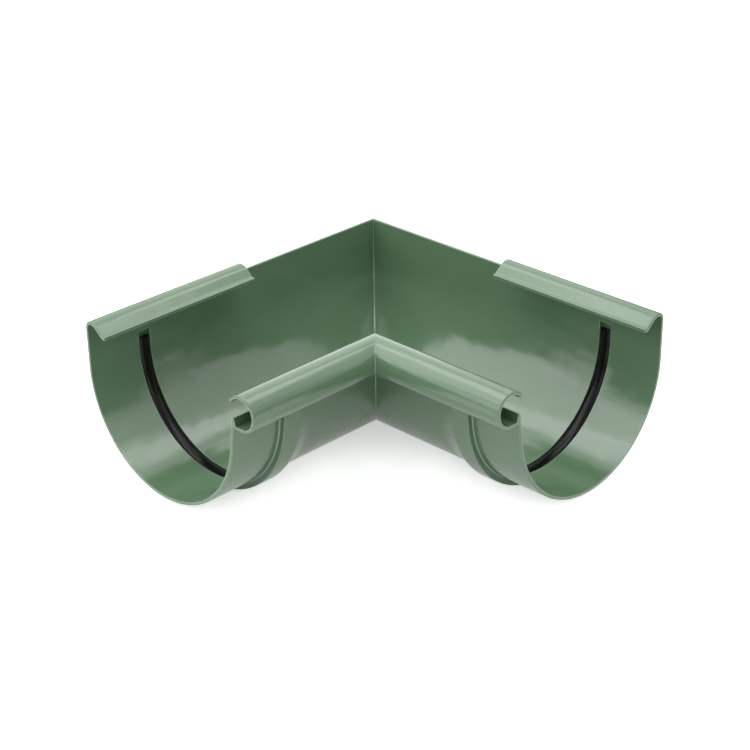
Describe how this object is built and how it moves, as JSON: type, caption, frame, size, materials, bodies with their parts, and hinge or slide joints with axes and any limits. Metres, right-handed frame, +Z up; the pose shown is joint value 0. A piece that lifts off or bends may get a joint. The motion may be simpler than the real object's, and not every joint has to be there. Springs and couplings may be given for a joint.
{
  "type": "internal gutter corner",
  "caption": "Internal corner for a half round rain gutter: two open troughs meet at a right angle, with a rolled front bead, a rear clip lip and a rubber seal at each open end.",
  "frame": {"origin": "middle of the box round the part, at its underside, so that the part stands on z = 0", "axes": "+Z up, +X along the right arm towards its open end, -Y along the left arm towards its open end"},
  "size_m": [0.251, 0.251, 0.1022],
  "materials": {
    "green_plastic": "smooth glossy moulding",
    "black_rubber": "smooth moulded rubber"
  },
  "bodies": {
    "root": {"gutter_corner": "green_plastic", "right_seal": "black_rubber", "left_seal": "black_rubber"}
  },
  "joints": []
}
